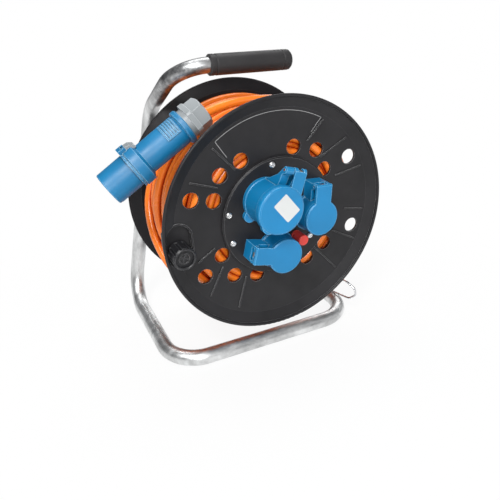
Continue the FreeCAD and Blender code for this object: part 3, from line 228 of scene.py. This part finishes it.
def cord_points():
    """All points from the clamp in the barrel to the plug, in metres."""
    points = [polar(angle, radius, y) for angle, radius, y in LEAD_IN]
    for angle, radius, y in reversed(inner_layers()):
        points.append(polar(angle, radius / SPLINE_SHRINK, y))
    count = int(WIND_TURNS * POINTS_PER_TURN)
    for i in reversed(range(count + 1)):
        angle, radius, y = outer_layer(i / POINTS_PER_TURN)
        points.append(polar(angle, radius / SPLINE_SHRINK, y))
    for angle, radius, y in reversed(TAIL_ROUTE):
        points.append(polar(angle, radius, y))
    points.append(GLAND_FACE + PLUG_FRAME @ (Vector(CORD_END) * MM))
    return points


def make_cord():
    """The cable with its free end, which the plug is on."""
    data = bpy.data.curves.new("cord", "CURVE")
    data.dimensions = "3D"
    data.resolution_u = 3
    data.bevel_depth = 1.0          # each point's radius below gives the cable's
    data.bevel_resolution = 5
    data.use_fill_caps = True
    spline = data.splines.new("NURBS")
    points = cord_points()
    spline.points.add(len(points) - 1)
    for slot, point in zip(spline.points, points):
        slot.co = (*point, 1.0)
        slot.radius = CABLE_R * MM
    spline.order_u = 3
    spline.use_endpoint_u = True
    obj = link("cord", data)
    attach(obj, "drum")
    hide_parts("cable_core", "cable_winding", "cable_tail")
    return obj


cord = make_cord()


# Small pieces that are too fine for the solids

def new_piece(name, body, bm, smooth=False):
    """Makes an object of the mesh, which rides on a body."""
    bmesh.ops.recalc_face_normals(bm, faces=bm.faces)
    bm.normal_update()
    mesh = bpy.data.meshes.new(name)
    bm.to_mesh(mesh)
    bm.free()
    if smooth:
        for face in mesh.polygons:
            face.use_smooth = True
    obj = link(name, mesh)
    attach(obj, body)
    return obj


def join_rings(bm, rings):
    """Faces between closed rings of vertices that follow each other."""
    for low, high in zip(rings, rings[1:]):
        for i in range(len(low)):
            j = (i + 1) % len(low)
            bm.faces.new((low[i], low[j], high[j], high[i]))


def rounded_rectangle(width, height, radius, steps=6):
    """Corner-rounded outline about the origin, as (u, v) pairs."""
    outline = []
    for cu, cv, start in ((width / 2 - radius, height / 2 - radius, 0),
                          (radius - width / 2, height / 2 - radius, 90),
                          (radius - width / 2, radius - height / 2, 180),
                          (width / 2 - radius, radius - height / 2, 270)):
        for i in range(steps + 1):
            a = math.radians(start + 90.0 * i / steps)
            outline.append((cu + radius * math.cos(a), cv + radius * math.sin(a)))
    return outline


STICKER_AT = (-15.1, 27.85)       # on the lid of the three-pole socket
STICKER_SIZE = (28.1, 19.7)
STICKER_CORNER = 1.6
STICKER_TURN = -51.0
STICKER_RINGS = ((0.0, 0.0), (0.05, 0.02), (0.25, 0.03))    # (inset, height) of its edge
LID_FACE_Y = -114.0


def make_sticker():
    """A blank paper sticker with a soft edge."""
    bm = bmesh.new()
    turn = math.radians(STICKER_TURN)
    width, height = STICKER_SIZE
    rings = []
    for inset, proud in STICKER_RINGS:
        ring = []
        for u, v in rounded_rectangle(width - 2 * inset, height - 2 * inset, STICKER_CORNER):
            x = STICKER_AT[0] + u * math.cos(turn) - v * math.sin(turn)
            z = STICKER_AT[1] + u * math.sin(turn) + v * math.cos(turn)
            ring.append(bm.verts.new(at(x, LID_FACE_Y - proud, z)))
        rings.append(ring)
    join_rings(bm, rings)
    bm.faces.new(rings[-1])
    return new_piece("lid_sticker", "cee_lid_body", bm)


PRINT_Y = -65.0                   # front face of the front flange
PRINT_LINE = 0.6
PRINT_THICK = 0.07
PRINT_CREST = 0.9                 # how wide a line's crest is, beside its foot
PRINT_SUNK = 0.01
# Lines of the plain frame on the flange: (angle, radius) of their ends, and their steps
PRINT_FRAME = (((62.8, 125.3), (127.8, 125.3), 48), ((127.8, 125.0), (128.5, 102.0), 6),
               ((62.8, 125.0), (65.2, 105.0), 6))


def print_stroke(bm, points):
    """A printed line on the flange through (angle, radius) points."""
    flat = [Vector((r * math.cos(math.radians(a)), r * math.sin(math.radians(a))))
            for a, r in points]
    last = len(flat) - 1
    left, right = [], []
    for i, here in enumerate(flat):
        along = (flat[min(i + 1, last)] - flat[max(i - 1, 0)]).normalized()
        across = Vector((-along.y, along.x)) * PRINT_LINE / 2
        for side, row in ((across, left), (-across, right)):
            foot = here + side
            crest = here + side * PRINT_CREST
            row.append((bm.verts.new(at(foot.x, PRINT_Y + PRINT_SUNK, foot.y)),
                        bm.verts.new(at(crest.x, PRINT_Y - PRINT_THICK, crest.y))))
    for i in range(last):
        bm.faces.new((left[i][1], left[i + 1][1], right[i + 1][1], right[i][1]))
        bm.faces.new((left[i][0], left[i + 1][0], left[i + 1][1], left[i][1]))
        bm.faces.new((right[i][1], right[i + 1][1], right[i + 1][0], right[i][0]))
    for i in (0, last):
        bm.faces.new((left[i][0], left[i][1], right[i][1], right[i][0]))


def make_print_frame():
    """The plain line frame printed on the flange above the sockets."""
    bm = bmesh.new()
    for (angle, radius), (end_angle, end_radius), steps in PRINT_FRAME:
        print_stroke(bm, [(angle + (end_angle - angle) * i / steps,
                           radius + (end_radius - radius) * i / steps)
                          for i in range(steps + 1)])
    return new_piece("print_frame", "drum", bm)


WELD_SIDES = 14
WELD_END = 0.35                   # how thick a bead still is at its ends
WELD_MARGIN = 0.35                # how far it goes on past them, in steps
WELD_RIPPLE = 0.10
WELD_LUMPS = 0.06


def weld_bead(name, start, end, count, radius):
    """A rippled weld along the wire where it meets the foot bar."""
    start, end = Vector(start), Vector(end)
    points = [start + (end - start) * i / (count - 1) for i in range(count)]
    bm = bmesh.new()
    rings = []
    for i, point in enumerate(points):
        along = (points[min(i + 1, count - 1)] - points[max(i - 1, 0)]).normalized()
        side = along.orthogonal().normalized()
        other = along.cross(side)
        hump = math.sin(math.pi * (i + WELD_MARGIN) / (count - 1 + 2 * WELD_MARGIN))
        swell = radius * (WELD_END + (1 - WELD_END) * hump ** 0.5)
        swell *= 1.0 + WELD_RIPPLE * (-1) ** i
        ring = []
        for k in range(WELD_SIDES):
            a = 2 * math.pi * k / WELD_SIDES
            lump = 1.0 + WELD_LUMPS * math.sin(3 * a + 1.7 * i)
            place = point + (side * math.cos(a) + other * math.sin(a)) * swell * lump
            ring.append(bm.verts.new(at(*place)))
        rings.append(ring)
    join_rings(bm, rings)
    bm.faces.new(list(reversed(rings[0])))
    bm.faces.new(rings[-1])
    bead = new_piece(name, "frame", bm, smooth=True)
    fine = bead.modifiers.new("fine", "SUBSURF")
    fine.levels = 2
    fine.render_levels = 2
    return bead


sticker = make_sticker()
print_frame = make_print_frame()
weld_front = weld_bead("weld_front", (107.6, -16.0, -155.4), (110.0, -28.0, -154.0), 11, 2.5)
weld_back = weld_bead("weld_back", (108.6, 16.6, -156.0), (108.2, 11.2, -152.6), 6, 2.7)


# Materials. Lengths in them are in metres, and noise scales in periods to the metre.

MATERIALS = {}
BEVEL_SAMPLES = 4
CREASE_SAMPLES = 8
EDGE_FROM, EDGE_TO = 0.985, 0.80  # cosine of a rounded edge where the painted edge highlight starts and is full
CREASE_SHADE = 0.15               # painted shade: how bright a plastic stays deep in its creases


def new_material(name):
    mat = bpy.data.materials.new(name)
    mat.use_nodes = True
    MATERIALS[name] = mat
    tree = mat.node_tree
    return tree, tree.nodes["Principled BSDF"]


def add(tree, kind, inputs=None, **settings):
    """Adds a node with its settings. An input takes a value or another node's output."""
    node = tree.nodes.new(kind)
    for key, value in settings.items():
        setattr(node, key, value)
    for key, value in (inputs or {}).items():
        if isinstance(value, bpy.types.NodeSocket):
            tree.links.new(value, node.inputs[key])
        else:
            node.inputs[key].default_value = value
    return node


def noise(tree, scale, detail=3.0, rough=0.55, stretch=None):
    """Cloudy noise in the object's own space, slower where stretch is below 1."""
    out = add(tree, "ShaderNodeTexCoord").outputs["Object"]
    if stretch:
        out = add(tree, "ShaderNodeMapping", {"Vector": out, "Scale": stretch}).outputs["Vector"]
    tex = add(tree, "ShaderNodeTexNoise",
              {"Vector": out, "Scale": scale, "Detail": detail, "Roughness": rough})
    return tex.outputs["Fac"]


def spread(tree, value, low, high, from_low=0.3, from_high=0.7):
    """Maps a value from one range to another, by default from where noise mostly lies."""
    node = add(tree, "ShaderNodeMapRange",
               {"Value": value, "From Min": from_low, "From Max": from_high,
                "To Min": low, "To Max": high})
    return node.outputs["Result"]


def mix(tree, share, under, over):
    """Mixes a share of one colour over another, each (r, g, b) or a node's output."""
    under, over = ((*c, 1) if isinstance(c, tuple) else c for c in (under, over))
    node = add(tree, "ShaderNodeMix", {"A": under, "B": over, "Factor": share},
               data_type="RGBA")
    return node.outputs["Result"]


def shade(colour, factor):
    return tuple(min(1.0, c * factor) for c in colour)


def bump(tree, bsdf, height, strength, depth, edge=0.0):
    """Fine relief, on edges that are rounded off by the length edge."""
    inputs = {"Strength": strength, "Distance": depth, "Height": height}
    if edge:
        soft = add(tree, "ShaderNodeBevel", {"Radius": edge}, samples=BEVEL_SAMPLES)
        inputs["Normal"] = soft.outputs["Normal"]
    node = add(tree, "ShaderNodeBump", inputs)
    tree.links.new(node.outputs["Normal"], bsdf.inputs["Normal"])


def edge_highlight_share(tree, width, amount):
    """How near an edge is, as the share of painted edge highlight: 0 on open faces, rising to
    amount along sharp edges.
    """
    soft = add(tree, "ShaderNodeBevel", {"Radius": width}, samples=BEVEL_SAMPLES)
    face = add(tree, "ShaderNodeNewGeometry")
    dot = add(tree, "ShaderNodeVectorMath",
              {0: soft.outputs["Normal"], 1: face.outputs["Normal"]}, operation="DOT_PRODUCT")
    return spread(tree, dot.outputs["Value"], 0.0, amount, EDGE_FROM, EDGE_TO)


def crease_shade_share(tree, reach, amount, shallow=0.93, deep=0.55):
    """Share of painted shade by how deep in a crease: 0 on open faces, rising to amount in sharp
    inner corners.
    """
    shut = add(tree, "ShaderNodeAmbientOcclusion", {"Distance": reach},
               samples=CREASE_SAMPLES, only_local=True)
    return spread(tree, shut.outputs["AO"], 0.0, amount, shallow, deep)


def plastic(name, colour, rough=(0.4, 0.55), grain=1500.0, grain_strength=0.25, shift=0.12,
            edge=0.0006, specular=0.5, edge_highlight=None, edge_highlight_width=0.0007, crease=None):
    """Moulded plastic: colour clouding, fine spark grain, soft edges, a painted highlight along
    edges in a lighter colour by its fourth number, and painted shade in creases (reach, amount)."""
    tree, bsdf = new_material(name)
    cloud = spread(tree, noise(tree, scale=22.0, detail=4.0), 0, 1)
    tone = mix(tree, cloud, shade(colour, 1 - shift), shade(colour, 1 + shift))
    if crease:
        # Painted shade: a darker colour in creases and inner corners.
        tone = mix(tree, crease_shade_share(tree, *crease), tone, shade(colour, CREASE_SHADE))
    if edge_highlight:
        # Painted highlight: a lighter colour mixed in along edges.
        tone = mix(tree, edge_highlight_share(tree, edge_highlight_width, edge_highlight[3]), tone, edge_highlight[:3])
    tree.links.new(tone, bsdf.inputs["Base Color"])
    sheen = spread(tree, noise(tree, scale=60.0, detail=5.0), *rough)
    tree.links.new(sheen, bsdf.inputs["Roughness"])
    bsdf.inputs["Specular IOR Level"].default_value = specular
    bump(tree, bsdf, noise(tree, grain, detail=2.0), grain_strength, depth=0.00012, edge=edge)


def metal(name, colour, rough=(0.25, 0.4), streak=(1, 1, 1), scale=30.0, dark=0.8,
          strength=0.15, bend_shade=False):
    """Plated or turned metal: dull and bright patches, with fine scratches in the surface."""
    tree, bsdf = new_material(name)
    bsdf.inputs["Metallic"].default_value = 1.0
    patches = spread(tree, noise(tree, scale, detail=6.0, rough=0.65, stretch=streak), 0, 1)
    tone = mix(tree, patches, shade(colour, dark), colour)
    # Painted shade: a patchy dark colour over the handle's upper bend.
    if bend_shade:
        tone = mix(tree, bend_shade_share(tree), tone, BEND_SHADE_ZINC)
    tree.links.new(tone, bsdf.inputs["Base Color"])
    sheen = noise(tree, scale * 1.7, detail=5.0, rough=0.6, stretch=streak)
    tree.links.new(spread(tree, sheen, *rough), bsdf.inputs["Roughness"])
    scratches = noise(tree, scale * 20, detail=3.0, rough=0.6, stretch=streak)
    bump(tree, bsdf, scratches, strength, depth=0.0002, edge=0.0004)


BEND_SHADE_AT = at(-100.0, 10.0, 148.0)    # middle of the painted shade on the handle's upper bend
BEND_SHADE_REACH = 0.075
BEND_SHADE_ZINC = (0.085, 0.085, 0.09)


def bend_shade_share(tree):
    """Share of painted shade on the zinc: patchy, full in the middle of the upper bend and none
    outside it.
    """
    coords = add(tree, "ShaderNodeTexCoord")
    away = add(tree, "ShaderNodeVectorMath",
               {0: coords.outputs["Object"], 1: BEND_SHADE_AT}, operation="DISTANCE")
    near = spread(tree, away.outputs["Value"], 1.0, 0.0,
                  from_low=0.45 * BEND_SHADE_REACH, from_high=BEND_SHADE_REACH)
    patchy = spread(tree, noise(tree, scale=70.0, detail=5.0, rough=0.7), 0.35, 0.95,
                    from_low=0.35, from_high=0.65)
    return add(tree, "ShaderNodeMath", {0: near, 1: patchy}, operation="MULTIPLY").outputs[0]


GAP_REACH = 0.006                 # how far from touching turns the painted gap shade reaches


def rubber(name, colour, rough=(0.5, 0.65), shift=0.1, specular=0.5, gap_shade=None):
    """Soft plastic or rubber, with painted shade: a darker colour in the gaps between turns that
    touch.
    """
    tree, bsdf = new_material(name)
    bsdf.inputs["Specular IOR Level"].default_value = specular
    cloud = spread(tree, noise(tree, scale=40.0, detail=4.0), 0, 1)
    tone = mix(tree, cloud, shade(colour, 1 - shift), colour)
    if gap_shade:
        # Painted shade: a deep colour in the gaps between touching turns.
        deep = crease_shade_share(tree, GAP_REACH, amount=0.95, shallow=0.92, deep=0.4)
        tone = mix(tree, deep, tone, gap_shade)
    tree.links.new(tone, bsdf.inputs["Base Color"])
    sheen = spread(tree, noise(tree, scale=90.0, detail=4.0), *rough)
    tree.links.new(sheen, bsdf.inputs["Roughness"])
    bump(tree, bsdf, noise(tree, scale=900.0), strength=0.3, depth=0.0002)


# In the finishes below, each lighter edge colour is a painted highlight.
plastic("paper", (0.57, 0.585, 0.58), (0.45, 0.55), 900.0, 0.05, 0.02, edge=0.0)
plastic("print_white", (0.30, 0.30, 0.30), (0.45, 0.6), 900.0, 0.05, 0.05, edge=0.0)
metal("weld_zinc", (0.62, 0.62, 0.63), (0.35, 0.55), (1, 1, 1), 300.0, 0.6)
metal("zinc_tube", (0.89, 0.90, 0.90), (0.32, 0.52), (0.35, 1, 0.3), 90.0, 0.50, 0.10,
      bend_shade=True)
metal("zinc_wire", (0.74, 0.75, 0.77), (0.2, 0.35), (1, 1, 1), 80.0, 0.75)
plastic("grip_plastic", (0.031, 0.030, 0.031), (0.38, 0.50), 1100.0, 0.35, specular=0.25)
metal("axle_steel", (0.62, 0.63, 0.64), (0.25, 0.4), (1, 6, 1), 60.0, 0.85)
plastic("drum_plastic", (0.0135, 0.013, 0.0145), (0.38, 0.56), 1300.0, 0.3, 0.25,
        specular=0.32, edge_highlight=(0.27, 0.27, 0.275, 0.9), crease=(0.003, 1.0))
# A darker copy of drum_plastic: painted shade on the back flange.
plastic("back_flange_shade_plastic", (0.0075, 0.007, 0.008), (0.42, 0.58), 1300.0, 0.3,
        specular=0.17, edge_highlight=(0.16, 0.16, 0.165, 0.8))
plastic("bush_plastic", (0.72, 0.71, 0.67), (0.4, 0.5), shift=0.04)
metal("screw_steel", (0.96, 0.96, 0.96), (0.3, 0.45), (1, 1, 1), 120.0, 0.9)
plastic("blue_plastic", (0.002, 0.182, 0.405), (0.33, 0.45), 1500.0, 0.12, 0.08,
        edge_highlight=(0.30, 0.64, 0.88, 0.85), edge_highlight_width=0.0011, crease=(0.003, 0.9))
# A darker copy of blue_plastic: painted shade on the plug.
plastic("plug_shade_plastic", (0.003, 0.150, 0.325), (0.40, 0.52), 1500.0, 0.15, 0.08,
        edge_highlight=(0.36, 0.66, 0.88, 0.9), edge_highlight_width=0.0011, crease=(0.003, 0.9))
plastic("insert_plastic", (0.03, 0.03, 0.032))
metal("contact_brass", (0.83, 0.62, 0.28), (0.2, 0.35))
metal("clip_steel", (0.70, 0.70, 0.70), (0.2, 0.35))
metal("hinge_steel", (0.86, 0.86, 0.86), (0.2, 0.3))
metal("spring_steel", (0.45, 0.45, 0.46), (0.25, 0.4))
rubber("seal_rubber", (0.022, 0.022, 0.022))
plastic("socket_plastic", (0.03, 0.03, 0.033))
plastic("cutout_plastic", (0.02, 0.02, 0.022))
plastic("button_plastic", (0.66, 0.045, 0.033), (0.3, 0.4), shift=0.05,
        edge_highlight=(0.9, 0.3, 0.25, 0.5))
plastic("knob_plastic", (0.013, 0.013, 0.015), (0.34, 0.48), specular=0.4,
        edge_highlight=(0.20, 0.20, 0.205, 0.8), crease=(0.003, 1.0))
rubber("cable_jacket", (0.98, 0.220, 0.020), (0.18, 0.30), 0.10, 0.5, gap_shade=(0.50, 0.030, 0.004))
plastic("gland_plastic", (0.25, 0.27, 0.28), (0.36, 0.48), shift=0.10,
        edge_highlight=(0.75, 0.78, 0.80, 0.8), edge_highlight_width=0.0010)

# Mouldings that get a darker copy of their slot's plastic, as painted shade for the shadow they lie
# in
SHADED_COPIES = {"plug_handle": "plug_shade_plastic", "plug_shroud": "plug_shade_plastic",
             "plug_ring": "plug_shade_plastic", "back_flange": "back_flange_shade_plastic"}


def dress_nodes():
    """Gives every solid the material of its slot in the record, or the darker copy that paints its
    shade.
    """
    slots = {row["node"]: row["material_slot"] for row in frame["record"]["subparts"]}
    slots.update(SHADED_COPIES)
    for name, obj in nodes.items():
        material = MATERIALS[slots[name]]
        if not obj.data.materials:
            obj.data.materials.append(material)
        for i in range(len(obj.data.materials)):
            obj.data.materials[i] = material


dress_nodes()
for piece, finish in ((cord, "cable_jacket"), (sticker, "paper"), (print_frame, "print_white"),
                      (weld_front, "weld_zinc"), (weld_back, "weld_zinc")):
    piece.data.materials.append(MATERIALS[finish])


# Stage and light

FLOOR_HALF = 6.0
FLOOR_GREY = (0.72, 0.72, 0.72, 1)
FLOOR_NEAR, FLOOR_FAR = 0.15, 0.45    # between them the floor goes from shaded to plain white
FLOOR_WHITE_NEAR = 0.91


def stage_floor():
    """A pale floor that the camera and glossy surfaces see as near white."""
    mesh = bpy.data.meshes.new("floor")
    corners = [(x * FLOOR_HALF, y * FLOOR_HALF, 0) for x, y in ((-1, -1), (1, -1), (1, 1), (-1, 1))]
    mesh.from_pydata(corners, [], [(0, 1, 2, 3)])
    floor = link("floor", mesh)
    tree, bsdf = new_material("floor")
    bsdf.inputs["Base Color"].default_value = FLOOR_GREY
    bsdf.inputs["Roughness"].default_value = 0.8
    coords = add(tree, "ShaderNodeTexCoord")
    length = add(tree, "ShaderNodeVectorMath", {0: coords.outputs["Object"]},
                 operation="LENGTH")
    share = spread(tree, length.outputs["Value"], FLOOR_WHITE_NEAR, 1.0, FLOOR_NEAR, FLOOR_FAR)
    path = add(tree, "ShaderNodeLightPath")
    seen = add(tree, "ShaderNodeMath",
               {0: path.outputs["Is Camera Ray"], 1: path.outputs["Is Glossy Ray"]},
               operation="MAXIMUM")
    factor = add(tree, "ShaderNodeMath", {0: seen.outputs[0], 1: share}, operation="MULTIPLY")
    light = add(tree, "ShaderNodeEmission")
    both = add(tree, "ShaderNodeMixShader",
               {0: factor.outputs[0], 1: bsdf.outputs[0], 2: light.outputs[0]})
    tree.links.new(both.outputs[0], tree.nodes["Material Output"].inputs["Surface"])
    mesh.materials.append(MATERIALS["floor"])


def stage_world():
    """A weak grey sky that the camera sees as white."""
    world = bpy.data.worlds.new("studio")
    bpy.context.scene.world = world
    world.use_nodes = True
    tree = world.node_tree
    sky = tree.nodes["Background"]
    sky.inputs["Color"].default_value = (0.95, 0.97, 1.0, 1)
    sky.inputs["Strength"].default_value = 0.17
    white = add(tree, "ShaderNodeBackground", {"Color": (1, 1, 1, 1), "Strength": 1.0})
    path = add(tree, "ShaderNodeLightPath")
    both = add(tree, "ShaderNodeMixShader",
               {0: path.outputs["Is Camera Ray"], 1: sky.outputs[0], 2: white.outputs[0]})
    tree.links.new(both.outputs[0], tree.nodes["World Output"].inputs["Surface"])


LIGHT_AIM = (0, 0, 0.17)
# Name, place and size in metres, and power in watts
LIGHTS = (("key", (-0.95, -1.05, 1.65), (0.45, 0.45), 33.0),
          ("front", (-0.55, -1.75, 0.85), (0.4, 0.4), 17.0),
          ("fill", (1.4, -1.1, 0.7), (1.0, 1.0), 3.0),
          ("top", (0.1, 0.5, 1.7), (1.2, 0.8), 14.0),
          ("rear", (1.3, 1.3, 0.9), (1.0, 1.0), 9.0))


def stage_lights():
    for name, place, size, power in LIGHTS:
        data = bpy.data.lights.new(name, "AREA")
        data.shape = "RECTANGLE"
        data.size, data.size_y = size
        data.energy = power
        light = link(name, data)
        light.location = place
        aim = Vector(LIGHT_AIM) - Vector(place)
        light.rotation_euler = aim.to_track_quat("-Z", "Y").to_euler()


stage_floor()
stage_world()
stage_lights()
bpy.context.scene.view_settings.view_transform = "Standard"
